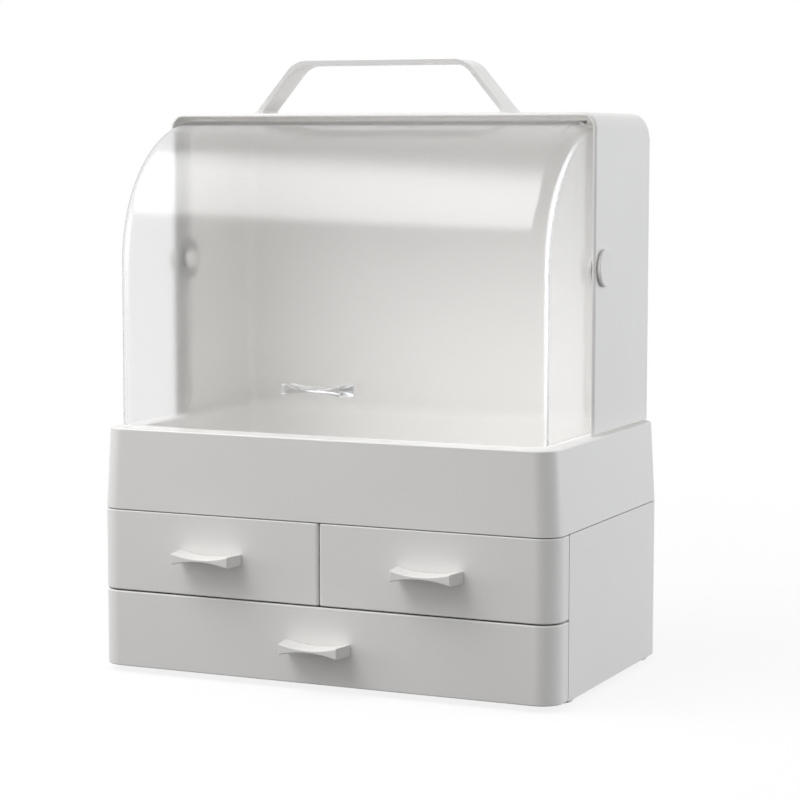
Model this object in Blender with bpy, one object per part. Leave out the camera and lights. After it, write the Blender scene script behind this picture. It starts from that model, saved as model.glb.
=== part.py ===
"""Dustproof makeup organizer: a drawer base with a tray, a rear shell with a carrying handle and a clear flip-up lid.

Lengths are in metres. X runs to the right, Y to the back and Z up. The origin is at the middle of the
whole object's footprint, on the surface that it stands on.
"""

import math

import bmesh
import bpy
from mathutils import Matrix, Vector

# Base: three drawers in a housing, under a tray
BASE_WIDTH = 0.280
BASE_DEPTH = 0.1724
BASE_CORNER = 0.0125
LOWER_ROW = 0.0444
UPPER_ROW = 0.0468
TRAY_HEIGHT = 0.0463

# Gaps: what touches keeps the seat gap, and the fronts show the panel gap
SEAT_GAP = 0.0003
PANEL_GAP = 0.0008
OVERRUN = 0.002

# Feet
FOOT_HEIGHT = 0.003
FOOT_DIAMETER = 0.022
FOOT_EDGE = 0.0006
FOOT_INSET = 0.014
FOOT_PEG_DIAMETER = 0.006
FOOT_PEG_LENGTH = 0.0018

# Drawer housing
HOUSING_SETBACK = 0.0201
HOUSING_WALL = 0.0024
RUNNER_WIDTH = 0.004
RUNNER_HEIGHT = 0.001
RUNNER_INSET = 0.012
RUNNER_ROOT = 0.0008
STOP_WIDTH = 0.020
STOP_DEPTH = 0.003
STOP_DROP = 0.0012
STOP_SETBACK = 0.012

# Drawers: a wide front block that wraps round the corners, and a narrower tub behind it
FRONT_WALL = 0.0024
FRONT_EDGE = 0.0008
TUB_WALL = 0.0018
TUB_SIDE_GAP = 0.0008
TUB_TOP_GAP = 0.002
TUB_BACK_GAP = 0.001
TUB_CORNER = 0.009
TUB_INNER_CORNER = 0.004
CATCH_WIDTH = 0.030
CATCH_GAP = 0.0005

# Tray
TRAY_WALL = 0.0022
TRAY_SIDE_DRAFT = 0.0023
TRAY_END_DRAFT = 0.001
TRAY_EDGE = 0.001
WELL_SIDE_RIM = 0.0147
WELL_FRONT_RIM = 0.0155
WELL_BACK_RIM = 0.0125
WELL_CORNER = 0.010
WELL_DRAFT = 0.001
WELL_RISE = 0.0012
HOOK_WIDTH = 0.012
HOOK_THICKNESS = 0.0018
HOOK_CATCH = 0.0009
HOOK_LIP = 0.001
HOOK_GAP = 0.0004
TRAY_HOOK_SPREAD = 0.180
TRAY_HOOK_INSET = 0.020

# Rear shell
SHELL_SIDE_INSET = 0.00645
SHELL_HEIGHT = 0.1789
SHELL_SETBACK = 0.0746
SHELL_BACK_INSET = 0.0006
SHELL_WALL = 0.0022
SHELL_SIDE_RADIUS = 0.0083
SHELL_BACK_RADIUS = 0.017
SHELL_HOOK_FRONT = 0.018
SHELL_HOOK_BACK = 0.068

# Lid: a clear hood that turns about the pivot, its top an arc round the same axis
PIVOT_SETBACK = 0.0864
PIVOT_RISE = 0.0931
LID_RADIUS = 0.0815
LID_WALL = 0.002
LID_SIDE_GAP = 0.0014
LID_SIDE_RADIUS = 0.009
LID_FOOT_GAP = 0.0015
LID_REAR = 0.002
LID_EAR_RADIUS = 0.012
LID_HEEL_RADIUS = 0.012

# Hinge pins, washers and knobs
HINGE_CLEARANCE = 0.0003
PIN_CAP_DIAMETER = 0.0208
PIN_CAP_HEIGHT = 0.0022
PIN_CAP_EDGE = 0.0007
PIN_DIAMETER = 0.006
PIN_TIP_DIAMETER = 0.0036
PIN_TIP_LENGTH = 0.0018
WASHER_DIAMETER = 0.024
KNOB_DIAMETER = 0.011
KNOB_HEIGHT = 0.0030
KNOB_EDGE = 0.0012

# Carrying handle
HANDLE_FOOT_SPAN = 0.1576
HANDLE_TOP_SPAN = 0.107
HANDLE_HEIGHT = 0.030
HANDLE_DEPTH = 0.0195
HANDLE_THICKNESS = 0.0026
HANDLE_SETBACK = 0.0043
HANDLE_BEND = 0.010
HANDLE_FLARE = 0.0016
HANDLE_EDGE = 0.0005
HANDLE_TAB_WIDTH = 0.012
HANDLE_TAB_THICKNESS = 0.0024

# Pulls: a bow-tie bar, thin in the middle and tall at its ends
PULL_REACH = 0.0145
PULL_ROOT_WIDTH = 0.0394
PULL_TIP_WIDTH = 0.0354
PULL_WAIST = 0.0018
PULL_END_HEIGHT = 0.0066
PULL_EDGE = 0.0007
PULL_DROP = 0.0005
PULL_INWARD = 0.003
FIXING_SPACING = 0.027
PEG_DIAMETER = 0.0032
PEG_CLEARANCE = 0.0003
LID_PULL_RISE = 0.0275

# Screws that hold the drawer pulls, driven from inside the drawer
SCREW_HEAD_DIAMETER = 0.0068
SCREW_HEAD_HEIGHT = 0.0016
SCREW_DIAMETER = 0.0019
SCREW_LENGTH = 0.009
SCREW_CLEARANCE = 0.0003

# Facets per quarter turn and per full turn, and stations along a pull
CORNER_STEPS = 8
EDGE_STEPS = 3
ARC_STEPS = 20
ROUND_STEPS = 24
SCREW_STEPS = 16
PULL_STATIONS = 16
SMOOTH_ANGLE = math.radians(35)

# Places that follow from the sizes above
FRONT_Y = PULL_REACH - (BASE_DEPTH + PULL_REACH) / 2
BACK_Y = FRONT_Y + BASE_DEPTH
HALF_WIDTH = BASE_WIDTH / 2
ROW_Z = FOOT_HEIGHT + LOWER_ROW
TRAY_Z = ROW_Z + UPPER_ROW
TRAY_TOP = TRAY_Z + TRAY_HEIGHT
HOUSING_TOP = TRAY_Z - SEAT_GAP
HOUSING_FRONT = FRONT_Y + HOUSING_SETBACK
SHELL_FRONT = FRONT_Y + SHELL_SETBACK
SHELL_BACK = BACK_Y - SHELL_BACK_INSET
SHELL_TOP = TRAY_TOP + SHELL_HEIGHT
SHELL_SIDE = HALF_WIDTH - SHELL_SIDE_INSET
LID_SIDE = SHELL_SIDE - SHELL_WALL - LID_SIDE_GAP
PIVOT_Y = FRONT_Y + PIVOT_SETBACK
PIVOT_Z = TRAY_TOP + PIVOT_RISE
LID_FRONT = PIVOT_Y - LID_RADIUS


# Scene and mesh helpers

def clear_scene():
    for obj in list(bpy.data.objects):
        bpy.data.objects.remove(obj, do_unlink=True)


def to_object(name, bm):
    """Makes a scene object of a closed bmesh, with its faces pointing out."""
    bmesh.ops.recalc_face_normals(bm, faces=bm.faces)
    mesh = bpy.data.meshes.new(name)
    bm.to_mesh(mesh)
    bm.free()
    obj = bpy.data.objects.new(name, mesh)
    bpy.context.scene.collection.objects.link(obj)
    return obj


def loft(name, levels):
    """Joins outlines of equal point counts, each given as a list of 3-D points, and caps both ends."""
    bm = bmesh.new()
    rings = [[bm.verts.new(point) for point in ring] for ring in levels]
    for lower, upper in zip(rings, rings[1:]):
        for i, vertex in enumerate(lower):
            j = (i + 1) % len(lower)
            bm.faces.new((vertex, lower[j], upper[j], upper[i]))
    bm.faces.new(rings[0])
    bm.faces.new(rings[-1])
    return to_object(name, bm)


def at_height(outline, z):
    return [(x, y, z) for x, y in outline]


def prism(name, outline, z_low, z_high):
    """Extrudes an XY outline along Z."""
    return loft(name, [at_height(outline, z_low), at_height(outline, z_high)])


def prism_x(name, outline, x_low, x_high):
    """Extrudes a YZ outline along X."""
    return loft(name, [[(x, y, z) for y, z in outline] for x in (x_low, x_high)])


def prism_y(name, outline, y_low, y_high):
    """Extrudes an XZ outline along Y."""
    return loft(name, [[(x, y, z) for x, z in outline] for y in (y_low, y_high)])


def block(name, x_range, y_range, z_range):
    outline = [(x_range[0], y_range[0]), (x_range[1], y_range[0]), (x_range[1], y_range[1]), (x_range[0], y_range[1])]
    return prism(name, outline, *z_range)


def turned(name, profile, frame, steps=ROUND_STEPS):
    """Turns a profile of (radius, height) pairs about the local Z axis of the given frame."""
    angles = [2 * math.pi * i / steps for i in range(steps)]
    levels = [[frame @ Vector((r * math.cos(a), r * math.sin(a), h)) for a in angles] for r, h in profile]
    return loft(name, levels)


def arc(centre, radius, start, end, steps):
    """Points on a circle in a plane, from one angle in degrees to another."""
    points = []
    for i in range(steps + 1):
        angle = math.radians(start + (end - start) * i / steps)
        points.append((centre[0] + radius * math.cos(angle), centre[1] + radius * math.sin(angle)))
    return points


def rounded_outline(x_range, y_range, front_left, front_right, back_right, back_left):
    """A rectangle, anticlockwise from its front left corner, each corner sharp or rounded by its radius."""
    corners = (
        (x_range[0], y_range[0], front_left, 180, 1, 1),
        (x_range[1], y_range[0], front_right, 270, -1, 1),
        (x_range[1], y_range[1], back_right, 0, -1, -1),
        (x_range[0], y_range[1], back_left, 90, 1, -1),
    )
    points = []
    for x, y, radius, start, to_middle_x, to_middle_y in corners:
        if radius > 0:
            centre = (x + to_middle_x * radius, y + to_middle_y * radius)
            points += arc(centre, radius, start, start + 90, CORNER_STEPS)
        else:
            points.append((x, y))
    return points


def fillet(before, corner, after, radius, steps):
    """The arc that rounds a corner between two straight stretches."""
    corner = Vector(corner)
    to_before = (Vector(before) - corner).normalized()
    to_after = (Vector(after) - corner).normalized()
    half = to_before.angle(to_after) / 2
    centre = corner + (to_before + to_after).normalized() * (radius / math.sin(half))
    first = corner + to_before * (radius / math.tan(half)) - centre
    last = corner + to_after * (radius / math.tan(half)) - centre
    turn = first.angle_signed(last)
    points = []
    for i in range(steps + 1):
        spoke = first.copy()
        spoke.rotate(Matrix.Rotation(-turn * i / steps, 2))
        points.append(tuple(centre + spoke))
    return points


def bake(obj):
    """Puts an object's modifiers into its mesh."""
    depsgraph = bpy.context.evaluated_depsgraph_get()
    mesh = bpy.data.meshes.new_from_object(obj.evaluated_get(depsgraph))
    obj.modifiers.clear()
    plain = obj.data
    obj.data = mesh
    bpy.data.meshes.remove(plain)


def combine(obj, tool, operation):
    modifier = obj.modifiers.new("combine", "BOOLEAN")
    modifier.object = tool
    modifier.operation = operation
    modifier.solver = "EXACT"
    bake(obj)
    bpy.data.objects.remove(tool, do_unlink=True)


def cut(obj, tool):
    combine(obj, tool, "DIFFERENCE")


def join(obj, tool):
    combine(obj, tool, "UNION")


def round_edges(obj, width, segments):
    modifier = obj.modifiers.new("edges", "BEVEL")
    modifier.width = width
    modifier.segments = segments
    modifier.limit_method = "ANGLE"
    modifier.angle_limit = SMOOTH_ANGLE
    bake(obj)


def axis_frame(location, direction):
    """A frame at a place whose local Z axis points along a direction."""
    return Matrix.Translation(location) @ Vector(direction).to_track_quat("Z", "Y").to_matrix().to_4x4()


def finish(obj, base_color, roughness, metallic=0.0, transmission=0.0):
    """Gives a piece its own material, and smooth shading between its edges."""
    material = bpy.data.materials.new(obj.name + "_finish")
    material.use_nodes = True
    shader = material.node_tree.nodes["Principled BSDF"]
    shader.inputs["Base Color"].default_value = (*base_color, 1.0)
    shader.inputs["Roughness"].default_value = roughness
    shader.inputs["Metallic"].default_value = metallic
    shader.inputs["Transmission Weight"].default_value = transmission
    obj.data.materials.clear()
    obj.data.materials.append(material)
    obj.data.shade_smooth()
    obj.data.set_sharp_from_angle(angle=SMOOTH_ANGLE)


def white_plastic(obj):
    finish(obj, (0.80, 0.79, 0.78), 0.35)


def clear_plastic(obj):
    finish(obj, (0.97, 0.98, 0.98), 0.05, transmission=1.0)


def soft_rubber(obj):
    finish(obj, (0.72, 0.72, 0.71), 0.7)


def screw_steel(obj):
    finish(obj, (0.62, 0.62, 0.63), 0.35, metallic=1.0)


def joint_axis(name, location):
    """An empty on a joint's axis, which the moving pieces are parented to."""
    axis = bpy.data.objects.new(name, None)
    axis.location = location
    bpy.context.scene.collection.objects.link(axis)
    return axis


def carry(axis, *pieces):
    """Parents pieces to a joint's empty, with their own origins on the axis."""
    for obj in pieces:
        obj.data.transform(Matrix.Translation(-axis.location))
        obj.parent = axis


# Feet

def foot_places():
    x = HALF_WIDTH - FOOT_INSET
    front = HOUSING_FRONT + FOOT_INSET
    back = BACK_Y - FOOT_INSET
    return {
        "foot_front_left": (-x, front),
        "foot_front_right": (x, front),
        "foot_back_left": (-x, back),
        "foot_back_right": (x, back),
    }


def make_foot(name, x, y):
    """A round pad with a peg that plugs into the housing's floor."""
    radius = FOOT_DIAMETER / 2
    peg = FOOT_PEG_DIAMETER / 2
    top = FOOT_HEIGHT - SEAT_GAP
    profile = [
        (radius - FOOT_EDGE, 0),
        (radius, FOOT_EDGE),
        (radius, top),
        (peg, top),
        (peg, FOOT_HEIGHT + FOOT_PEG_LENGTH),
    ]
    foot = turned(name, profile, Matrix.Translation((x, y, 0)))
    soft_rubber(foot)
    return foot


# Drawer housing

def bay_sizes(row, side):
    """The inside of a drawer bay: its X, Y and Z ranges, and its back corner radii. Side 0 is the full width."""
    middle = HOUSING_WALL / 2
    outer = HALF_WIDTH - HOUSING_WALL
    x_range = {0: (-outer, outer), -1: (-outer, -middle), 1: (middle, outer)}[side]
    if row == 0:
        z_range = (FOOT_HEIGHT + HOUSING_WALL, ROW_Z - middle)
    else:
        z_range = (ROW_Z + middle, HOUSING_TOP - HOUSING_WALL)
    corner = BASE_CORNER - HOUSING_WALL
    radii = (corner if side >= 0 else 0, corner if side <= 0 else 0)
    return x_range, (HOUSING_FRONT, BACK_Y - HOUSING_WALL), z_range, radii


BAYS = {"bottom": (0, 0), "left": (1, -1), "right": (1, 1)}


def make_housing():
    """One moulding: walls, floor, shelf and divider, with runners on the floors and a stop under each ceiling."""
    outline = rounded_outline(
        (-HALF_WIDTH, HALF_WIDTH), (HOUSING_FRONT, BACK_Y), 0, 0, BASE_CORNER, BASE_CORNER
    )
    housing = prism("drawer_housing", outline, FOOT_HEIGHT, HOUSING_TOP)
    for row, side in BAYS.values():
        x_range, y_range, z_range, (right, left) = bay_sizes(row, side)
        bay = rounded_outline(x_range, (y_range[0] - OVERRUN, y_range[1]), 0, 0, right, left)
        cut(housing, prism("bay", bay, *z_range))
    for row, side in BAYS.values():
        add_runners_and_stop(housing, *bay_sizes(row, side)[:3])
    for x, y in foot_places().values():
        hole = FOOT_PEG_DIAMETER / 2 + SEAT_GAP
        frame = Matrix.Translation((x, y, FOOT_HEIGHT))
        cut(housing, turned("foot_hole", [(hole, -OVERRUN), (hole, HOUSING_WALL + OVERRUN)], frame))
    for x, y in tray_hook_places():
        slot_x = HOOK_THICKNESS / 2 + HOOK_CATCH + HOOK_GAP
        slot_y = HOOK_WIDTH / 2 + HOOK_GAP
        slot_z = (HOUSING_TOP - HOUSING_WALL - OVERRUN, HOUSING_TOP + OVERRUN)
        cut(housing, block("hook_slot", (x - slot_x, x + slot_x), (y - slot_y, y + slot_y), slot_z))
    white_plastic(housing)
    return housing


def add_runners_and_stop(housing, x_range, y_range, z_range):
    runner_y = (y_range[0] + RUNNER_WIDTH, y_range[1] - TUB_CORNER)
    runner_z = (z_range[0] - RUNNER_ROOT, z_range[0] + RUNNER_HEIGHT)
    for x in (x_range[0] + RUNNER_INSET, x_range[1] - RUNNER_INSET):
        join(housing, block("runner", (x - RUNNER_WIDTH / 2, x + RUNNER_WIDTH / 2), runner_y, runner_z))
    middle = (x_range[0] + x_range[1]) / 2
    stop_x = (middle - STOP_WIDTH / 2, middle + STOP_WIDTH / 2)
    stop_y = (y_range[0] + STOP_SETBACK, y_range[0] + STOP_SETBACK + STOP_DEPTH)
    join(housing, block("stop", stop_x, stop_y, (z_range[1] - STOP_DROP, z_range[1] + RUNNER_ROOT)))


# Drawers

def front_range(row, side):
    """A drawer front's X and Z ranges."""
    half_gap = PANEL_GAP / 2
    x_range = {
        0: (-HALF_WIDTH, HALF_WIDTH),
        -1: (-HALF_WIDTH, -half_gap),
        1: (half_gap, HALF_WIDTH),
    }[side]
    z_range = ((FOOT_HEIGHT, ROW_Z), (ROW_Z, TRAY_Z))[row]
    return x_range, (z_range[0] + half_gap, z_range[1] - half_gap)


def pull_place(row, side):
    """The middle of a drawer's pull, on the drawer's face."""
    x_range, z_range = front_range(row, side)
    x = (x_range[0] + x_range[1]) / 2 - side * PULL_INWARD
    return x, (z_range[0] + z_range[1]) / 2 - PULL_DROP


def make_drawer(name, row, side):
    """A front block flush with the housing's sides, open on top, with the tub that slides in the bay."""
    x_range, z_range = front_range(row, side)
    left = side <= 0
    right = side >= 0
    block_y = (FRONT_Y, HOUSING_FRONT - PANEL_GAP)

    def front_outline(inset, corner_inset):
        corner = BASE_CORNER - corner_inset
        inner_corner = 2 * FRONT_EDGE - min(corner_inset, FRONT_EDGE)
        return rounded_outline(
            (x_range[0] + inset, x_range[1] - inset),
            (block_y[0] + inset, block_y[1]),
            corner if left else inner_corner,
            corner if right else inner_corner,
            0,
            0,
        )

    levels = []
    for i in range(EDGE_STEPS + 1):
        angle = math.pi / 2 * i / EDGE_STEPS
        inset = FRONT_EDGE * (1 - math.sin(angle))
        rise = FRONT_EDGE * (1 - math.cos(angle))
        levels.append((inset, z_range[0] + rise))
    levels += [(inset, z_range[0] + z_range[1] - z) for inset, z in reversed(levels)]
    drawer = loft(name, [at_height(front_outline(inset, inset), z) for inset, z in levels])

    bay_x, bay_y, bay_z, _ = bay_sizes(row, side)
    tub_x = (bay_x[0] + TUB_SIDE_GAP, bay_x[1] - TUB_SIDE_GAP)
    tub_y = (block_y[1] - BASE_CORNER / 2, bay_y[1] - TUB_BACK_GAP)
    tub_z = (bay_z[0] + RUNNER_HEIGHT + SEAT_GAP, bay_z[1] - TUB_TOP_GAP)
    back = (TUB_CORNER if right else TUB_INNER_CORNER, TUB_CORNER if left else TUB_INNER_CORNER)
    join(drawer, prism("tub", rounded_outline(tub_x, tub_y, 0, 0, *back), *tub_z))

    inside_z = (tub_z[0] + TUB_WALL, z_range[1] + OVERRUN)
    hollow_front = rounded_outline(
        (x_range[0] + FRONT_WALL, x_range[1] - FRONT_WALL),
        (block_y[0] + FRONT_WALL, block_y[1] - TUB_WALL),
        BASE_CORNER - FRONT_WALL if left else TUB_INNER_CORNER - TUB_WALL,
        BASE_CORNER - FRONT_WALL if right else TUB_INNER_CORNER - TUB_WALL,
        0,
        0,
    )
    cut(drawer, prism("hollow_front", hollow_front, *inside_z))
    hollow_tub = rounded_outline(
        (tub_x[0] + TUB_WALL, tub_x[1] - TUB_WALL),
        (block_y[0] + BASE_CORNER, tub_y[1] - TUB_WALL),
        0,
        0,
        back[0] - TUB_WALL,
        back[1] - TUB_WALL,
    )
    cut(drawer, prism("hollow_tub", hollow_tub, *inside_z))

    middle = (bay_x[0] + bay_x[1]) / 2
    catch_x = (middle - CATCH_WIDTH / 2, middle + CATCH_WIDTH / 2)
    catch_z = (tub_z[1] - TUB_WALL, bay_z[1] - CATCH_GAP)
    join(drawer, block("catch", catch_x, (tub_y[1] - TUB_WALL, tub_y[1]), catch_z))

    pull_x, pull_z = pull_place(row, side)
    cut_fixing_holes(drawer, (pull_x, FRONT_Y, pull_z), FRONT_WALL, SCREW_DIAMETER / 2 + SCREW_CLEARANCE)
    white_plastic(drawer)
    return drawer


# Tray

def tray_hook_places():
    x = TRAY_HOOK_SPREAD / 2
    return [(side * x, y) for side in (-1, 1) for y in (HOUSING_FRONT + TRAY_HOOK_INSET, BACK_Y - TRAY_HOOK_INSET)]


def tray_outline(inset, z):
    """The tray's outside at a height, drafted towards the top and moved in by an inset."""
    rise = (z - TRAY_Z) / TRAY_HEIGHT
    side = TRAY_SIDE_DRAFT * rise + inset
    end = TRAY_END_DRAFT * rise + inset
    corner = BASE_CORNER - inset
    return rounded_outline(
        (-HALF_WIDTH + side, HALF_WIDTH - side), (FRONT_Y + end, BACK_Y - end), corner, corner, corner, corner
    )


def well_outline(inset):
    """The opening of the tray's well at the rim, moved in by an inset."""
    side = TRAY_SIDE_DRAFT + WELL_SIDE_RIM + inset
    front = TRAY_END_DRAFT + WELL_FRONT_RIM + inset
    back = TRAY_END_DRAFT + WELL_BACK_RIM + inset
    corner = WELL_CORNER - inset
    return rounded_outline(
        (-HALF_WIDTH + side, HALF_WIDTH - side), (FRONT_Y + front, BACK_Y - back), corner, corner, corner, corner
    )


def make_tray():
    """A drafted skirt with a flat rim and a sunk well, hooked into the housing's top."""
    levels = [at_height(tray_outline(0, TRAY_Z), TRAY_Z)]
    for i in range(EDGE_STEPS + 1):
        angle = math.pi / 2 * i / EDGE_STEPS
        z = TRAY_TOP - TRAY_EDGE * (1 - math.sin(angle))
        levels.append(at_height(tray_outline(TRAY_EDGE * (1 - math.cos(angle)), z), z))
    tray = loft("tray", levels)

    under_z = (TRAY_Z - OVERRUN, TRAY_TOP - TRAY_WALL)
    cut(tray, loft("under", [at_height(tray_outline(TRAY_WALL, z), z) for z in under_z]))

    floor_z = TRAY_Z + WELL_RISE
    well_top = TRAY_TOP - TRAY_WALL / 2
    outside = [at_height(well_outline(WELL_DRAFT - TRAY_WALL), floor_z), at_height(well_outline(-TRAY_WALL), well_top)]
    join(tray, loft("well", outside))
    inside = [
        at_height(well_outline(WELL_DRAFT), floor_z + TRAY_WALL),
        at_height(well_outline(0), TRAY_TOP),
        at_height(well_outline(0), TRAY_TOP + OVERRUN),
    ]
    cut(tray, loft("hollow", inside))

    for x, y in tray_hook_places():
        outward = math.copysign(HOOK_CATCH, x)
        join(tray, make_hook(x, y, floor_z + TRAY_WALL / 2, HOUSING_TOP - HOUSING_WALL - HOOK_GAP, outward))
    for x, y in shell_hook_places():
        outward = math.copysign(1, x)
        slot_x = sorted((x + outward * SHELL_WALL / 2, x - outward * (HOOK_THICKNESS / 2 + HOOK_CATCH + HOOK_GAP)))
        slot_y = HOOK_WIDTH / 2 + HOOK_GAP
        slot_z = (TRAY_TOP - TRAY_WALL - OVERRUN, TRAY_TOP + OVERRUN)
        cut(tray, block("shell_slot", slot_x, (y - slot_y, y + slot_y), slot_z))
    white_plastic(tray)
    return tray


def make_hook(x, y, top, catch_top, outward):
    """A snap hook: a tab that hangs from the given height, with a lip that catches under a plate."""
    half = HOOK_THICKNESS / 2
    back_x = x - math.copysign(half, outward)
    face_x = x + math.copysign(half, outward)
    outline = [
        (back_x, top),
        (back_x, catch_top - HOOK_LIP),
        (face_x, catch_top - HOOK_LIP),
        (face_x + outward, catch_top),
        (face_x, catch_top),
        (face_x, top),
    ]
    return prism_y("hook", outline, y - HOOK_WIDTH / 2, y + HOOK_WIDTH / 2)


# Hinge axis, which the rear shell and the lid share

def hinge_frame(side):
    """A frame in the middle of the hinge axis, its local Z pointing outward to one side."""
    return axis_frame((0, PIVOT_Y, PIVOT_Z), (side, 0, 0))


def cut_hinge_holes(obj, outside, wall):
    """Holes for the hinge pins through both side walls, whose outer faces are at a distance from the middle."""
    radius = PIN_DIAMETER / 2 + HINGE_CLEARANCE
    for side in (-1, 1):
        profile = [(radius, outside - wall - OVERRUN), (radius, outside + OVERRUN)]
        cut(obj, turned("hinge_hole", profile, hinge_frame(side)))


# Rear shell

def hood(name, side, profile, radius, skip):
    """Extrudes a YZ profile to both sides and rounds its outer edges, but not those that skip() names."""
    obj = prism_x(name, profile, -side, side)
    bm = bmesh.new()
    bm.from_mesh(obj.data)
    rounded = []
    for edge in bm.edges:
        a, b = (vertex.co for vertex in edge.verts)
        on_one_side = abs(a.x - b.x) < side / 2
        if on_one_side and not skip(a, b):
            rounded.append(edge)
    bmesh.ops.bevel(
        bm, geom=rounded, offset=radius, offset_type="OFFSET", segments=CORNER_STEPS, profile=0.5, affect="EDGES"
    )
    bmesh.ops.recalc_face_normals(bm, faces=bm.faces)
    bm.to_mesh(obj.data)
    bm.free()
    return obj


def shell_block(name, inset, front, bottom):
    """The shell's outside, or its inside when inset by the wall."""
    back = SHELL_BACK - inset
    top = SHELL_TOP - inset
    radius = SHELL_BACK_RADIUS - inset
    profile = [(front, bottom), (front, top)]
    profile += arc((back - radius, top - radius), radius, 90, 0, CORNER_STEPS)
    profile.append((back, bottom))
    tolerance = SEAT_GAP

    def at_an_opening(a, b):
        at_front = abs(a.y - front) < tolerance and abs(b.y - front) < tolerance
        at_bottom = abs(a.z - bottom) < tolerance and abs(b.z - bottom) < tolerance
        return at_front or at_bottom

    return hood(name, SHELL_SIDE - inset, profile, SHELL_SIDE_RADIUS - inset, at_an_opening)


def shell_hook_places():
    x = SHELL_SIDE - SHELL_WALL / 2
    return [(side * x, SHELL_FRONT + y) for side in (-1, 1) for y in (SHELL_HOOK_FRONT, SHELL_HOOK_BACK)]


def handle_tab_x():
    return HANDLE_FOOT_SPAN / 2 - HANDLE_THICKNESS / 2


def handle_middle_y():
    return SHELL_FRONT + HANDLE_SETBACK + HANDLE_DEPTH / 2


def make_shell():
    """A white hood open at its front and bottom, with hinge holes, handle slots and hooks into the tray."""
    bottom = TRAY_TOP + SEAT_GAP
    shell = shell_block("rear_shell", 0, SHELL_FRONT, bottom)
    cut(shell, shell_block("inside", SHELL_WALL, SHELL_FRONT - OVERRUN, bottom - OVERRUN))
    cut_hinge_holes(shell, SHELL_SIDE, SHELL_WALL)
    for side in (-1, 1):
        x = side * handle_tab_x()
        slot_x = HANDLE_TAB_THICKNESS / 2 + SEAT_GAP
        slot_y = HANDLE_TAB_WIDTH / 2 + SEAT_GAP
        y = handle_middle_y()
        slot_z = (SHELL_TOP - SHELL_WALL - OVERRUN, SHELL_TOP + OVERRUN)
        cut(shell, block("handle_slot", (x - slot_x, x + slot_x), (y - slot_y, y + slot_y), slot_z))
    for x, y in shell_hook_places():
        inward = -math.copysign(HOOK_CATCH, x)
        catch_top = TRAY_TOP - TRAY_WALL - HOOK_GAP
        join(shell, make_hook(x, y, bottom + HOOK_WIDTH / 2, catch_top, inward))
    white_plastic(shell)
    return shell


# Clear lid

def lid_profile(inset, rear, bottom):
    """The lid's side view: upright front, an arc round the pivot, and a straight rear edge."""
    front = LID_FRONT + inset
    profile = [(front, bottom)]
    profile += arc((PIVOT_Y, PIVOT_Z), LID_RADIUS - inset, 180, 90, ARC_STEPS)
    profile.append((rear, PIVOT_Z + LID_RADIUS - inset))
    return profile


def make_lid():
    """A clear hood whose side panels run inside the shell, with an ear round each pivot."""
    bottom = TRAY_TOP + LID_FOOT_GAP
    rear = PIVOT_Y + LID_REAR
    half_chord = math.degrees(math.acos(LID_REAR / LID_EAR_RADIUS))
    profile = lid_profile(0, rear, bottom)
    profile += arc((PIVOT_Y, PIVOT_Z), LID_EAR_RADIUS, half_chord, -half_chord, CORNER_STEPS)
    profile += arc((rear - LID_HEEL_RADIUS, bottom + LID_HEEL_RADIUS), LID_HEEL_RADIUS, 0, -90, CORNER_STEPS)
    tolerance = SEAT_GAP

    def outer_bend(y, z):
        """True on the front and on the arc up to the rear edge."""
        on_front = abs(y - LID_FRONT) < tolerance and z <= PIVOT_Z + tolerance
        on_arc = z >= PIVOT_Z and math.hypot(y - PIVOT_Y, z - PIVOT_Z) > LID_RADIUS - tolerance
        return on_front or on_arc

    def beside_the_bend(a, b):
        return not (outer_bend(a.y, a.z) and outer_bend(b.y, b.z))

    lid = hood("lid", LID_SIDE, profile, LID_SIDE_RADIUS, beside_the_bend)

    far_rear = PIVOT_Y + LID_EAR_RADIUS + OVERRUN
    inside = lid_profile(LID_WALL, far_rear, bottom - OVERRUN)
    inside.append((far_rear, bottom - OVERRUN))

    def off_the_inner_bend(a, b):
        def on_bend(y, z):
            on_front = abs(y - LID_FRONT - LID_WALL) < tolerance
            on_arc = z >= PIVOT_Z and math.hypot(y - PIVOT_Y, z - PIVOT_Z) > LID_RADIUS - LID_WALL - tolerance
            return on_front or on_arc

        return not (on_bend(a.y, a.z) and on_bend(b.y, b.z))

    inner_radius = LID_SIDE_RADIUS - LID_WALL
    cut(lid, hood("inside", LID_SIDE - LID_WALL, inside, inner_radius, off_the_inner_bend))

    cut_hinge_holes(lid, LID_SIDE, LID_WALL)
    cut_fixing_holes(lid, lid_pull_place(), LID_WALL, PEG_DIAMETER / 2 + PEG_CLEARANCE)
    clear_plastic(lid)
    return lid


# Hinge pins, washers and knobs

def make_hinge_pin(name, side):
    """A round cap outside the shell, with a stem through shell, washer and lid and a thinner tip."""
    stem = PIN_DIAMETER / 2
    tip = PIN_TIP_DIAMETER / 2
    cap = PIN_CAP_DIAMETER / 2
    under_cap = SHELL_SIDE + SEAT_GAP
    shoulder = LID_SIDE - LID_WALL
    profile = [
        (tip, shoulder - PIN_TIP_LENGTH),
        (tip, shoulder),
        (stem, shoulder),
        (stem, under_cap),
        (cap, under_cap),
    ]
    for i in range(EDGE_STEPS + 1):
        angle = math.pi / 2 * i / EDGE_STEPS
        radius = cap - PIN_CAP_EDGE * (1 - math.cos(angle))
        height = under_cap + PIN_CAP_HEIGHT - PIN_CAP_EDGE * (1 - math.sin(angle))
        profile.append((radius, height))
    pin = turned(name, profile, hinge_frame(side))
    white_plastic(pin)
    return pin


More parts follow.
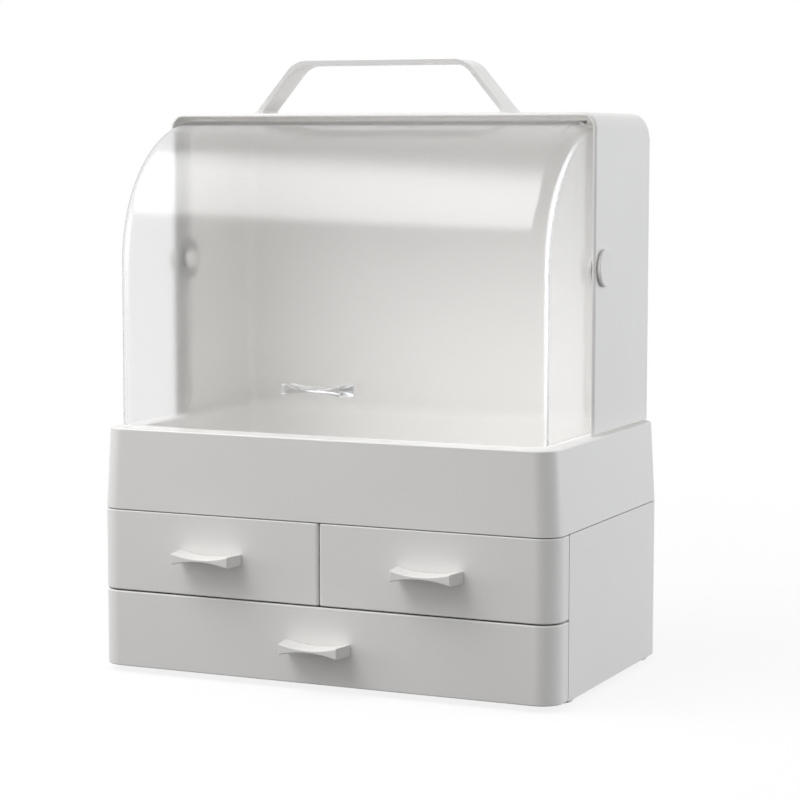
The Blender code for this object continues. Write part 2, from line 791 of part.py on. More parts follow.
def make_washer(name, side):
    """A friction washer between the shell's wall and the lid's ear."""
    thickness = LID_SIDE_GAP - 2 * SEAT_GAP
    start = LID_SIDE + SEAT_GAP
    washer = turned(name, [(WASHER_DIAMETER / 2, start), (WASHER_DIAMETER / 2, start + thickness)], hinge_frame(side))
    bore = PIN_DIAMETER / 2 + HINGE_CLEARANCE
    cut(washer, turned("bore", [(bore, start - OVERRUN), (bore, start + thickness + OVERRUN)], hinge_frame(side)))
    soft_rubber(washer)
    return washer


def make_knob(name, side):
    """A round knob on the pin's tip that keeps the lid on, inside the lid."""
    radius = KNOB_DIAMETER / 2
    face = LID_SIDE - LID_WALL - SEAT_GAP
    profile = []
    for i in range(EDGE_STEPS + 1):
        angle = math.pi / 2 * i / EDGE_STEPS
        profile.append((radius - KNOB_EDGE * (1 - math.sin(angle)), face - KNOB_HEIGHT + KNOB_EDGE * (1 - math.cos(angle))))
    profile.append((radius, face))
    knob = turned(name, profile, hinge_frame(side))
    bore = PIN_TIP_DIAMETER / 2 + HINGE_CLEARANCE
    floor = LID_SIDE - LID_WALL - PIN_TIP_LENGTH - SEAT_GAP
    cut(knob, turned("bore", [(bore, floor), (bore, face + OVERRUN)], hinge_frame(side), SCREW_STEPS))
    white_plastic(knob)
    return knob


# Carrying handle

def handle_outline():
    """The strap's front view: a trapezoid band with rounded bends and flared feet."""
    base = SHELL_TOP + SEAT_GAP
    top = SHELL_TOP + HANDLE_HEIGHT
    foot = HANDLE_FOOT_SPAN / 2
    shoulder = HANDLE_TOP_SPAN / 2
    lean = math.atan2(foot - shoulder, top - base)
    across = HANDLE_THICKNESS / math.cos(lean)

    def outer_x(z):
        return foot - (foot - shoulder) * (z - base) / (top - base)

    def flare(offset, sign):
        points = []
        for i in range(EDGE_STEPS + 1):
            angle = math.pi / 2 * i / EDGE_STEPS
            z = base + HANDLE_FLARE * (1 - math.cos(angle))
            points.append((outer_x(z) - offset + sign * HANDLE_FLARE * (1 - math.sin(angle)), z))
        return points

    inner_top = top - HANDLE_THICKNESS
    inner_corner = (outer_x(inner_top) - across, inner_top)
    outer = flare(0, 1) + fillet((foot, base), (shoulder, top), (0, top), HANDLE_BEND, CORNER_STEPS)
    inner = flare(across, -1) + fillet(
        (foot - across, base), inner_corner, (0, inner_top), HANDLE_BEND - HANDLE_THICKNESS, CORNER_STEPS
    )
    right = outer + [(-x, z) for x, z in reversed(outer)]
    left = [(-x, z) for x, z in inner] + list(reversed(inner))
    return right + left


def make_handle():
    """A strap across the shell's top, its tabs staked in slots in the shell."""
    middle = handle_middle_y()
    handle = prism_y("handle", handle_outline(), middle - HANDLE_DEPTH / 2, middle + HANDLE_DEPTH / 2)
    round_edges(handle, HANDLE_EDGE, 2)
    tab_z = (SHELL_TOP - SHELL_WALL, SHELL_TOP + HANDLE_FLARE)
    tab_y = (middle - HANDLE_TAB_WIDTH / 2, middle + HANDLE_TAB_WIDTH / 2)
    for side in (-1, 1):
        x = side * handle_tab_x()
        join(handle, block("tab", (x - HANDLE_TAB_THICKNESS / 2, x + HANDLE_TAB_THICKNESS / 2), tab_y, tab_z))
    white_plastic(handle)
    return handle


# Pulls, and the pegs or screws that fix them

def lid_pull_place():
    return 0, LID_FRONT, TRAY_TOP + LID_PULL_RISE


def fixing_frames(place, depth=0):
    """Frames behind a pull's two fixings, at a depth into the wall, their local Z pointing inward."""
    for x in (-FIXING_SPACING / 2, FIXING_SPACING / 2):
        yield axis_frame((place[0] + x, place[1] + depth, place[2]), (0, 1, 0))


def cut_fixing_holes(obj, place, wall, radius):
    for frame in fixing_frames(place):
        cut(obj, turned("fixing_hole", [(radius, -OVERRUN), (radius, wall + OVERRUN)], frame, SCREW_STEPS))


def pull_section(share):
    """A cross-section of the pull, at a share of its half width from -1 to 1."""
    height = PULL_WAIST + (PULL_END_HEIGHT - PULL_WAIST) * share ** 2
    half = height / 2
    edge = min(PULL_EDGE, half)
    tip = -PULL_REACH
    points = [(-SEAT_GAP, -half)]
    points += arc((tip + edge, -half + edge), edge, 270, 180, EDGE_STEPS)
    points += arc((tip + edge, half - edge), edge, 180, 90, EDGE_STEPS)
    points.append((-SEAT_GAP, half))
    root = PULL_ROOT_WIDTH / 2
    narrow = PULL_TIP_WIDTH / 2 - root
    return [(share * (root + narrow * y / tip), y, z) for y, z in points]


def make_pull(name, place):
    """A bow-tie bar that stands out from a face at the given place."""
    shares = [2 * i / PULL_STATIONS - 1 for i in range(PULL_STATIONS + 1)]
    pull = loft(name, [pull_section(share) for share in shares])
    pull.data.transform(Matrix.Translation(place))
    return pull


def make_drawer_pull(name, place):
    """A pull with a blind bore for each screw."""
    pull = make_pull(name, place)
    radius = SCREW_DIAMETER / 2 + SCREW_CLEARANCE
    for frame in fixing_frames(place, FRONT_WALL):
        profile = [(radius, -SCREW_LENGTH - SCREW_CLEARANCE), (radius, OVERRUN)]
        cut(pull, turned("bore", profile, frame, SCREW_STEPS))
    white_plastic(pull)
    return pull


def make_lid_pull():
    """A clear pull with two pegs through the lid's wall."""
    pull = make_pull("lid_pull", lid_pull_place())
    radius = PEG_DIAMETER / 2
    for frame in fixing_frames(lid_pull_place()):
        join(pull, turned("peg", [(radius, -PEG_DIAMETER), (radius, LID_WALL)], frame, SCREW_STEPS))
    clear_plastic(pull)
    return pull


def make_screw(name, frame):
    """A pan-head screw: its head bears on the drawer's inner face, its shank runs into the pull."""
    shank = SCREW_DIAMETER / 2
    head = SCREW_HEAD_DIAMETER / 2
    profile = [(shank / 2, -SCREW_LENGTH), (shank, shank - SCREW_LENGTH), (shank, SEAT_GAP), (head, SEAT_GAP)]
    for i in range(EDGE_STEPS + 1):
        angle = math.pi / 2 * i / EDGE_STEPS
        dome = SCREW_HEAD_HEIGHT / 2
        profile.append((head - dome * (1 - math.cos(angle)), SEAT_GAP + SCREW_HEAD_HEIGHT - dome * (1 - math.sin(angle))))
    screw = turned(name, profile, frame, SCREW_STEPS)
    screw_steel(screw)
    return screw


# Assembly

def build_drawer(label, row, side):
    """A drawer with its pull and screws, on the axis that it slides along."""
    drawer = make_drawer(label + "_drawer", row, side)
    x, z = pull_place(row, side)
    place = (x, FRONT_Y, z)
    pull = make_drawer_pull(label + "_pull", place)
    ends_and_frames = zip(("left", "right"), fixing_frames(place, FRONT_WALL))
    screws = [make_screw(f"{label}_pull_screw_{end}", frame) for end, frame in ends_and_frames]
    carry(joint_axis(label + "_drawer_slide", place), drawer, pull, *screws)


def build_lid():
    carry(joint_axis("lid_hinge", (0, PIVOT_Y, PIVOT_Z)), make_lid(), make_lid_pull())


def build():
    clear_scene()
    make_housing()
    for name, (x, y) in foot_places().items():
        make_foot(name, x, y)
    make_tray()
    make_shell()
    make_handle()
    for end, side in (("left", -1), ("right", 1)):
        make_hinge_pin("hinge_pin_" + end, side)
        make_washer("hinge_washer_" + end, side)
        make_knob("hinge_knob_" + end, side)
    for label, (row, side) in BAYS.items():
        build_drawer(label, row, side)
    build_lid()


build()
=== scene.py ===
"""Looks of the dustproof makeup organizer: finer pieces, their materials, a plain studio and the camera.

Lengths are in metres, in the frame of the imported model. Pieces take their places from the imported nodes.
"""

import math

import bmesh
import bpy
from mathutils import Matrix, Vector


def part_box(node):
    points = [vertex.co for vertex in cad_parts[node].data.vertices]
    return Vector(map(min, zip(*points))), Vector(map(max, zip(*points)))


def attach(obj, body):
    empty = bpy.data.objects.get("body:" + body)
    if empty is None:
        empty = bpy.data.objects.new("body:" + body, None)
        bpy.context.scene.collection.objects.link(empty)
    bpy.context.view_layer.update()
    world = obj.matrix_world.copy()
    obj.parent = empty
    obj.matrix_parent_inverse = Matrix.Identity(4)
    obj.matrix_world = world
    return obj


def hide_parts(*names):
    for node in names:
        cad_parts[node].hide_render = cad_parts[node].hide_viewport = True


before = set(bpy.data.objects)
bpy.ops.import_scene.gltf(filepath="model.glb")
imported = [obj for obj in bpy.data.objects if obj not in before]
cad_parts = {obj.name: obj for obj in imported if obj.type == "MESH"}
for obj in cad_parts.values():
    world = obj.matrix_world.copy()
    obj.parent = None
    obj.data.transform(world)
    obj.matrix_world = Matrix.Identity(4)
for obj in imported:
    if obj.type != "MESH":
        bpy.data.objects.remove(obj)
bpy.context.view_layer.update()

# Camera, fitted to the photograph
CAMERA_PLACE = (0.6025, -1.30395, 0.3019)
CAMERA_TURN = math.radians(24.305)
CAMERA_DROP = math.radians(5.841)
CAMERA_ROLL = math.radians(0.078)
CAMERA_LENS = 112.66
CAMERA_SENSOR = 36.0

# Studio
ROOM_LIGHT = 0.48
FLOOR_SIZE = 12.0
FLOOR_TONE = 0.95
FLOOR_BOUNCE_TONE = 0.18
FLOOR_GLOW_SHARE = 0.85
FLOOR_FADE_START = 0.35
FLOOR_FADE_END = 0.9

# Bounces enough for light to get in and out through two layers of the lid
DIFFUSE_BOUNCES = 10
GLASS_BOUNCES = 24
SHADOW_SURFACES = 16

# Lamps: turns in degrees, and soft shares of the left, right, lower and upper edges
LAMPS = {
    "key": {
        "place": (-0.68, -0.57, 1.475),
        "turn": (36.5, 0, -50),
        "size": (1.9, 1.46),
        "radiance": 3.7,
        "color": (0.995, 0.995, 1.0),
        "soft_shares": (0.1, 0.1, 0.2, 0.48),
    },
    "fill": {
        "place": (-1.418, -0.661, 0.533),
        "turn": (78, 0, -65),
        "size": (1.0, 1.0),
        "radiance": 2.3,
        "color": (0.995, 0.995, 1.0),
        "soft_shares": (0.2, 0.2, 0.2, 0.2),
    },
    "side": {
        "place": (1.355, 0.783, 0.42),
        "turn": (82, 0, 120),
        "size": (1.5, 1.1),
        "radiance": 3.35,
        "color": (0.935, 0.965, 1.0),
        "soft_shares": (0.2, 0.2, 0.2, 0.2),
    },
}

# Tones: each pair holds the darker and the paler end of a mottle
WHITE_TONES = ((0.812, 0.802, 0.786), (0.832, 0.822, 0.806))
RUBBER_TONES = ((0.66, 0.66, 0.65), (0.74, 0.74, 0.73))
STEEL_TONES = ((0.52, 0.53, 0.55), (0.66, 0.66, 0.66))
CLEAR_TONE = (0.985, 0.985, 0.985, 1.0)
CLEAR_DEPTH_TONE = (0.20, 0.22, 0.24, 1.0)
CLEAR_DEPTH_DENSITY = 22.0
PLAIN_WHITE = (1.0, 1.0, 1.0, 1.0)

# Depths of the bumps
SINK_DEPTH = 0.0012
GRAIN_DEPTH = 0.00002
RIPPLE_DEPTH = 0.0004
PORE_DEPTH = 0.00004
SCRATCH_DEPTH = 0.00002

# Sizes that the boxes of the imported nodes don't give
BASE_CORNER = 0.0125
SEAT_GAP = 0.0003
EDGE_RADIUS = 0.0004

TRAY_WALL = 0.0022
TRAY_SIDE_DRAFT = 0.0023
TRAY_END_DRAFT = 0.001
TRAY_EDGE = 0.001
WELL_SIDE_RIM = 0.0147
WELL_FRONT_RIM = 0.0155
WELL_BACK_RIM = 0.0125
WELL_CORNER = 0.010
WELL_DRAFT = 0.001
WELL_RISE = 0.0012
WELL_EDGE = 0.0007
WELL_FLOOR_RADIUS = 0.003

SHELL_WALL = 0.0022
SHELL_SIDE_RADIUS = 0.0083
SHELL_BACK_RADIUS = 0.017
SHELL_OUTER_EDGE = 0.0015
SHELL_INNER_EDGE = 0.0004

LID_WALL = 0.002
LID_EDGE = 0.0004
LID_SIDE_RADIUS = 0.009
LID_EAR_RADIUS = 0.012
LID_HEEL_RADIUS = 0.012
LID_REAR = 0.002

HANDLE_THICKNESS = 0.0026
HANDLE_TOP_SPAN = 0.107
HANDLE_BEND = 0.016
HANDLE_FLARE = 0.0016
HANDLE_EDGE = 0.0012

PULL_WAIST = 0.0018
PULL_END_HEIGHT = 0.0066
PULL_TIP_SHARE = 0.9
PULL_EDGE = 0.0007

PIN_STEM_RADIUS = 0.003
PIN_TIP_RADIUS = 0.0018
PIN_EDGE = 0.0007
KNOB_EDGE = 0.0012
WASHER_EDGE = 0.0001

# Faint dishes in the faces of cap and knob: shares of the radius, each with its depth as a share of the edge
PIN_DISH_SHARES = ((0.80, 0), (0.74, 1 / 4), (0.05, 1 / 3))
KNOB_DISH_SHARES = ((0.05, 1 / 4), (0.45, 1 / 4), (0.52, 0))

# Facets of the finer pieces
CORNER_STEPS = 14
ARC_STEPS = 48
EDGE_STEPS = 4
ROUND_STEPS = 64
PULL_STATIONS = 32
NODE_EDGE_STEPS = 2
BAR_EDGE_STEPS = 3

# An edge that turns further than SHARP_ANGLE is rounded, and facets within FLAT_ANGLE are joined
SHARP_ANGLE = math.radians(50)
FLAT_ANGLE = math.radians(0.3)
WELD_DISTANCE = 0.000005
NORMAL_WEIGHT = 60

# A face looks along an axis when its normal has at least this share on it
FACING_SHARE = 0.9
SIDEWAYS_SHARE = 0.5


# Mesh helpers

def new_piece(name, bm):
    bmesh.ops.recalc_face_normals(bm, faces=bm.faces)
    mesh = bpy.data.meshes.new(name)
    bm.to_mesh(mesh)
    bm.free()
    obj = bpy.data.objects.new(name, mesh)
    bpy.context.scene.collection.objects.link(obj)
    return obj


def loft(name, rings):
    """Joins rings of equal point counts, and caps both ends."""
    bm = bmesh.new()
    levels = [[bm.verts.new(point) for point in ring] for ring in rings]
    for lower, upper in zip(levels, levels[1:]):
        for i, vertex in enumerate(lower):
            j = (i + 1) % len(lower)
            bm.faces.new((vertex, lower[j], upper[j], upper[i]))
    bm.faces.new(levels[0])
    bm.faces.new(levels[-1])
    return new_piece(name, bm)


def arc(centre, radius, start, end, steps):
    points = []
    for i in range(steps + 1):
        angle = math.radians(start + (end - start) * i / steps)
        points.append((centre[0] + radius * math.cos(angle), centre[1] + radius * math.sin(angle)))
    return points


def rounded_ring(x_range, y_range, radius, z):
    """A rounded rectangle at a height, anticlockwise from its front left corner."""
    corners = (
        (x_range[0] + radius, y_range[0] + radius, 180),
        (x_range[1] - radius, y_range[0] + radius, 270),
        (x_range[1] - radius, y_range[1] - radius, 0),
        (x_range[0] + radius, y_range[1] - radius, 90),
    )
    points = []
    for x, y, start in corners:
        points += arc((x, y), radius, start, start + 90, CORNER_STEPS)
    return [(x, y, z) for x, y in points]


def turned(name, profile, place, axis):
    """Turns (radius, height) pairs about an axis through a place."""
    turn = Matrix.Translation(place) @ Vector(axis).to_track_quat("Z", "Y").to_matrix().to_4x4()
    angles = [2 * math.pi * i / ROUND_STEPS for i in range(ROUND_STEPS)]
    rings = [[turn @ Vector((r * math.cos(a), r * math.sin(a), h)) for a in angles] for r, h in profile]
    return loft(name, rings)


def bake(obj):
    depsgraph = bpy.context.evaluated_depsgraph_get()
    mesh = bpy.data.meshes.new_from_object(obj.evaluated_get(depsgraph))
    obj.modifiers.clear()
    plain = obj.data
    obj.data = mesh
    bpy.data.meshes.remove(plain)


def soften(obj, width, segments):
    """Rounds the sharp edges of a piece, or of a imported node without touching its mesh."""
    bevel = obj.modifiers.new("edges", "BEVEL")
    bevel.width = width
    bevel.segments = segments
    bevel.limit_method = "ANGLE"
    bevel.angle_limit = SHARP_ANGLE
    bevel.miter_outer = "MITER_ARC"


def soften_sharp(obj, width):
    """Rounds the sharp edges of a baked piece, each by its own share of the width."""
    bm = bmesh.new()
    bm.from_mesh(obj.data)
    share = bm.edges.layers.float["bevel_weight_edge"]
    for edge in bm.edges:
        if not edge.is_manifold or edge.calc_face_angle() < SHARP_ANGLE:
            edge[share] = 0.0
    bm.to_mesh(obj.data)
    bm.free()
    bevel = obj.modifiers.new("edges", "BEVEL")
    bevel.width = width
    bevel.segments = EDGE_STEPS
    bevel.limit_method = "WEIGHT"
    bevel.miter_outer = "MITER_ARC"


def smooth(obj):
    """Smooth shading that keeps flat faces flat."""
    obj.data.shade_smooth()
    normals = obj.modifiers.new("normals", "WEIGHTED_NORMAL")
    normals.keep_sharp = True
    normals.weight = NORMAL_WEIGHT


def dress(obj, material, body, slot, *nodes):
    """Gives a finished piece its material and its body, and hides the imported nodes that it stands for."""
    obj.data.materials.clear()
    obj.data.materials.append(material)
    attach(obj, body)
    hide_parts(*nodes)


def dress_node(name, material, width=0.0):
    """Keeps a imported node, with soft edges and a finer material."""
    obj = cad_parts[name]
    obj.data.materials.clear()
    obj.data.materials.append(material)
    weld = obj.modifiers.new("weld", "WELD")
    weld.merge_threshold = WELD_DISTANCE
    flat = obj.modifiers.new("flat", "DECIMATE")
    flat.decimate_type = "DISSOLVE"
    flat.angle_limit = FLAT_ANGLE
    if width:
        soften(obj, width, NODE_EDGE_STEPS)
    smooth(obj)


# Materials

def new_material(name):
    material = bpy.data.materials.new(name)
    material.use_nodes = True
    tree = material.node_tree
    return material, tree, tree.nodes["Principled BSDF"]


def noise(tree, scale, detail):
    place = tree.nodes.new("ShaderNodeTexCoord")
    texture = tree.nodes.new("ShaderNodeTexNoise")
    texture.inputs["Scale"].default_value = scale
    texture.inputs["Detail"].default_value = detail
    tree.links.new(place.outputs["Object"], texture.inputs["Vector"])
    return texture


def to_range(tree, source, low, high):
    scale = tree.nodes.new("ShaderNodeMapRange")
    scale.inputs["To Min"].default_value = low
    scale.inputs["To Max"].default_value = high
    tree.links.new(source.outputs["Fac"], scale.inputs["Value"])
    return scale.outputs["Result"]


def two_tones(tree, source, low, high):
    ramp = tree.nodes.new("ShaderNodeValToRGB")
    ramp.color_ramp.elements[0].position = 0.3
    ramp.color_ramp.elements[0].color = (*low, 1.0)
    ramp.color_ramp.elements[1].position = 0.7
    ramp.color_ramp.elements[1].color = (*high, 1.0)
    tree.links.new(source.outputs["Fac"], ramp.inputs["Fac"])
    return ramp.outputs["Color"]


def bump(tree, shader, layers):
    """Stacks bumps, each a texture with its depth in metres and its strength."""
    normal = None
    for source, depth, strength in layers:
        node = tree.nodes.new("ShaderNodeBump")
        node.inputs["Distance"].default_value = depth
        node.inputs["Strength"].default_value = strength
        tree.links.new(source.outputs["Fac"], node.inputs["Height"])
        if normal is not None:
            tree.links.new(normal, node.inputs["Normal"])
        normal = node.outputs["Normal"]
    tree.links.new(normal, shader.inputs["Normal"])


def white_plastic_material():
    """Satin moulded plastic: a fine spark-eroded grain on broad, faint sink marks."""
    material, tree, shader = new_material("white_plastic")
    mottle = noise(tree, scale=9.0, detail=3.0)
    grain = noise(tree, scale=2600.0, detail=2.0)
    sink = noise(tree, scale=14.0, detail=1.0)
    tree.links.new(two_tones(tree, mottle, *WHITE_TONES), shader.inputs["Base Color"])
    tree.links.new(to_range(tree, mottle, low=0.30, high=0.38), shader.inputs["Roughness"])
    shader.inputs["IOR"].default_value = 1.52
    bump(tree, shader, [(sink, SINK_DEPTH, 0.10), (grain, GRAIN_DEPTH, 0.35)])
    return material


def clear_plastic_material():
    """Clear polished plastic that lets lamps through to what it covers, and darkens with depth."""
    material, tree, shader = new_material("clear_plastic")
    ripple = noise(tree, scale=22.0, detail=1.0)
    shader.inputs["Base Color"].default_value = CLEAR_TONE
    shader.inputs["Roughness"].default_value = 0.13
    shader.inputs["IOR"].default_value = 1.49
    shader.inputs["Transmission Weight"].default_value = 1.0
    bump(tree, shader, [(ripple, RIPPLE_DEPTH, 0.05)])
    through = tree.nodes.new("ShaderNodeBsdfTransparent")
    through.inputs["Color"].default_value = PLAIN_WHITE
    path = tree.nodes.new("ShaderNodeLightPath")
    mix = tree.nodes.new("ShaderNodeMixShader")
    depth = tree.nodes.new("ShaderNodeVolumeAbsorption")
    depth.inputs["Color"].default_value = CLEAR_DEPTH_TONE
    depth.inputs["Density"].default_value = CLEAR_DEPTH_DENSITY
    output = tree.nodes["Material Output"]
    tree.links.new(depth.outputs["Volume"], output.inputs["Volume"])
    tree.links.new(path.outputs["Is Shadow Ray"], mix.inputs["Fac"])
    tree.links.new(shader.outputs["BSDF"], mix.inputs[1])
    tree.links.new(through.outputs["BSDF"], mix.inputs[2])
    tree.links.new(mix.outputs["Shader"], output.inputs["Surface"])
    return material


def rubber_material():
    """Matt soft rubber with a powdery surface."""
    material, tree, shader = new_material("soft_rubber")
    dust = noise(tree, scale=120.0, detail=4.0)
    pores = noise(tree, scale=3000.0, detail=2.0)
    tree.links.new(two_tones(tree, dust, *RUBBER_TONES), shader.inputs["Base Color"])
    tree.links.new(to_range(tree, dust, low=0.68, high=0.85), shader.inputs["Roughness"])
    bump(tree, shader, [(pores, PORE_DEPTH, 0.5)])
    return material


def steel_material():
    """Zinc-plated steel, a little uneven in its shine."""
    material, tree, shader = new_material("screw_steel")
    stain = noise(tree, scale=400.0, detail=3.0)
    scratch = noise(tree, scale=5000.0, detail=2.0)
    tree.links.new(two_tones(tree, stain, *STEEL_TONES), shader.inputs["Base Color"])
    tree.links.new(to_range(tree, stain, low=0.22, high=0.42), shader.inputs["Roughness"])
    shader.inputs["Metallic"].default_value = 1.0
    bump(tree, shader, [(scratch, SCRATCH_DEPTH, 0.3)])
    return material


WHITE = white_plastic_material()
CLEAR = clear_plastic_material()
RUBBER = rubber_material()
STEEL = steel_material()


# Tray

def make_tray():
    """One closed skin: from the well's underside over the skirt and the rim, down into the well."""
    low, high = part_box("tray")
    base_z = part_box("drawer_housing")[1].z + SEAT_GAP
    top_z = high.z
    half = high.x
    height = top_z - base_z

    def skirt(inset, z):
        rise = (z - base_z) / height
        side = TRAY_SIDE_DRAFT * rise + inset
        end = TRAY_END_DRAFT * rise + inset
        return rounded_ring((-half + side, half - side), (low.y + end, high.y - end), BASE_CORNER - inset, z)

    def well(inset, z):
        side = TRAY_SIDE_DRAFT + WELL_SIDE_RIM + inset
        front_y = low.y + TRAY_END_DRAFT + WELL_FRONT_RIM + inset
        back_y = high.y - TRAY_END_DRAFT - WELL_BACK_RIM - inset
        return rounded_ring((-half + side, half - side), (front_y, back_y), WELL_CORNER - inset, z)

    floor_z = base_z + WELL_RISE
    rings = [well(WELL_DRAFT - TRAY_WALL, floor_z), well(-TRAY_WALL, top_z - TRAY_WALL)]
    rings += [skirt(TRAY_WALL, top_z - TRAY_WALL), skirt(TRAY_WALL, base_z + EDGE_RADIUS)]
    for angle in (0, 30, 60, 90):
        inset = EDGE_RADIUS * (1 - math.sin(math.radians(angle)))
        rings.append(skirt(inset, base_z + EDGE_RADIUS * (1 - math.cos(math.radians(angle)))))
    for angle in range(0, 91, 15):
        z = top_z - TRAY_EDGE * (1 - math.sin(math.radians(angle)))
        rings.append(skirt(TRAY_EDGE * (1 - math.cos(math.radians(angle))), z))
    for angle in range(90, -1, -15):
        z = top_z - WELL_EDGE * (1 - math.sin(math.radians(angle)))
        rings.append(well(-WELL_EDGE * (1 - math.cos(math.radians(angle))), z))
    inner_floor = floor_z + TRAY_WALL
    for angle in range(0, 91, 15):
        z = inner_floor + WELL_FLOOR_RADIUS * (1 - math.sin(math.radians(angle)))
        rings.append(well(WELL_DRAFT + WELL_FLOOR_RADIUS * (1 - math.cos(math.radians(angle))), z))
    tray = loft("tray_moulding", rings)
    smooth(tray)
    dress(tray, WHITE, "case", "white_plastic", "tray")


# Hoods: the rear shell and the clear lid

def hood(name, side, profile, radius, rounded, opened, wall, outer_edge, inner_edge):
    """A YZ profile widened to both sides, some edges rounded and some faces opened, then given a wall."""
    bm = bmesh.new()
    left = [bm.verts.new((-side, y, z)) for y, z in profile]
    right = [bm.verts.new((side, y, z)) for y, z in profile]
    for i, vertex in enumerate(left):
        j = (i + 1) % len(left)
        bm.faces.new((vertex, left[j], right[j], right[i]))
    bm.faces.new(left)
    bm.faces.new(right)
    bmesh.ops.recalc_face_normals(bm, faces=bm.faces)
    edges = []
    for edge in bm.edges:
        start, end = (vertex.co for vertex in edge.verts)
        if abs(start.x - end.x) < side and rounded(start, end):
            edges.append(edge)
    bmesh.ops.bevel(
        bm,
        geom=edges,
        offset=radius,
        offset_type="OFFSET",
        segments=CORNER_STEPS,
        profile=0.5,
        affect="EDGES",
    )
    bm.faces.ensure_lookup_table()
    gone = [face for face in bm.faces if opened(face.calc_center_median(), face.normal)]
    bmesh.ops.delete(bm, geom=gone, context="FACES")
    obj = new_piece(name, bm)
    outer_points = len(obj.data.vertices)
    thick = obj.modifiers.new("wall", "SOLIDIFY")
    thick.thickness = wall
    thick.offset = -1.0
    thick.use_even_offset = True
    thick.use_quality_normals = True
    bake(obj)
    weights = obj.data.attributes.new("bevel_weight_edge", "FLOAT", "EDGE")
    for edge, weight in zip(obj.data.edges, weights.data):
        outer = all(index < outer_points for index in edge.vertices)
        weight.value = 1.0 if outer else inner_edge / outer_edge
    soften_sharp(obj, outer_edge)
    bake(obj)
    smooth(obj)
    return obj


def make_shell():
    low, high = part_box("rear_shell")
    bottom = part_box("tray")[1].z + SEAT_GAP
    front, back, top = low.y, high.y, high.z
    profile = [(front, bottom), (front, top)]
    bend = (back - SHELL_BACK_RADIUS, top - SHELL_BACK_RADIUS)
    profile += arc(bend, SHELL_BACK_RADIUS, 90, 0, CORNER_STEPS)
    profile.append((back, bottom))

    def rounded(a, b):
        at_front = a.y < front + SEAT_GAP and b.y < front + SEAT_GAP
        at_bottom = a.z < bottom + SEAT_GAP and b.z < bottom + SEAT_GAP
        return not (at_front or at_bottom)

    def opened(centre, normal):
        in_front = centre.y < front + SEAT_GAP and normal.y < -FACING_SHARE
        underneath = centre.z < bottom + SEAT_GAP and normal.z < -FACING_SHARE
        return in_front or underneath

    name = "rear_shell_moulding"
    edges = (SHELL_OUTER_EDGE, SHELL_INNER_EDGE)
    shell = hood(name, high.x, profile, SHELL_SIDE_RADIUS, rounded, opened, SHELL_WALL, *edges)
    dress(shell, WHITE, "case", "white_plastic", "rear_shell")


def pivot():
    low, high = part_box("hinge_knob_right")
    return (low.y + high.y) / 2, (low.z + high.z) / 2


def make_lid():
    low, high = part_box("lid")
    pivot_y, pivot_z = pivot()
    radius = pivot_y - low.y
    bottom = low.z
    rear = pivot_y + LID_REAR
    chord = math.degrees(math.acos(LID_REAR / LID_EAR_RADIUS))
    profile = [(low.y, bottom)]
    profile += arc((pivot_y, pivot_z), radius, 180, 90, ARC_STEPS)
    profile.append((rear, pivot_z + radius))
    profile += arc((pivot_y, pivot_z), LID_EAR_RADIUS, chord, -chord, ARC_STEPS // 2)
    profile += arc((rear - LID_HEEL_RADIUS, bottom + LID_HEEL_RADIUS), LID_HEEL_RADIUS, 0, -90, CORNER_STEPS)

    def outer_bend(point):
        on_front = point.y < low.y + SEAT_GAP and point.z <= pivot_z + SEAT_GAP
        reach = math.hypot(point.y - pivot_y, point.z - pivot_z)
        return on_front or (point.z >= pivot_z and reach > radius - SEAT_GAP)

    def rounded(a, b):
        return outer_bend(a) and outer_bend(b)

    def opened(centre, normal):
        if abs(normal.x) > SIDEWAYS_SHARE or outer_bend(centre):
            return False
        reach = math.hypot(centre.y - pivot_y, centre.z - pivot_z)
        return centre.y > rear - LID_HEEL_RADIUS or centre.z < bottom + SEAT_GAP or reach < radius / 2

    edges = (LID_EDGE, LID_EDGE)
    lid = hood("lid_moulding", high.x, profile, LID_SIDE_RADIUS, rounded, opened, LID_WALL, *edges)
    dress(lid, CLEAR, "lid", "clear_plastic", "lid")


# Carrying handle

def fillet(before, corner, after, radius, steps):
    """The arc that rounds a corner between two straight stretches."""
    corner = Vector(corner)
    to_before = (Vector(before) - corner).normalized()
    to_after = (Vector(after) - corner).normalized()
    half = to_before.angle(to_after) / 2
    centre = corner + (to_before + to_after).normalized() * (radius / math.sin(half))
    first = corner + to_before * (radius / math.tan(half)) - centre
    last = corner + to_after * (radius / math.tan(half)) - centre
    turn = first.angle_signed(last)
    points = []
    for i in range(steps + 1):
        spoke = first.copy()
        spoke.rotate(Matrix.Rotation(-turn * i / steps, 2))
        points.append(tuple(centre + spoke))
    return points


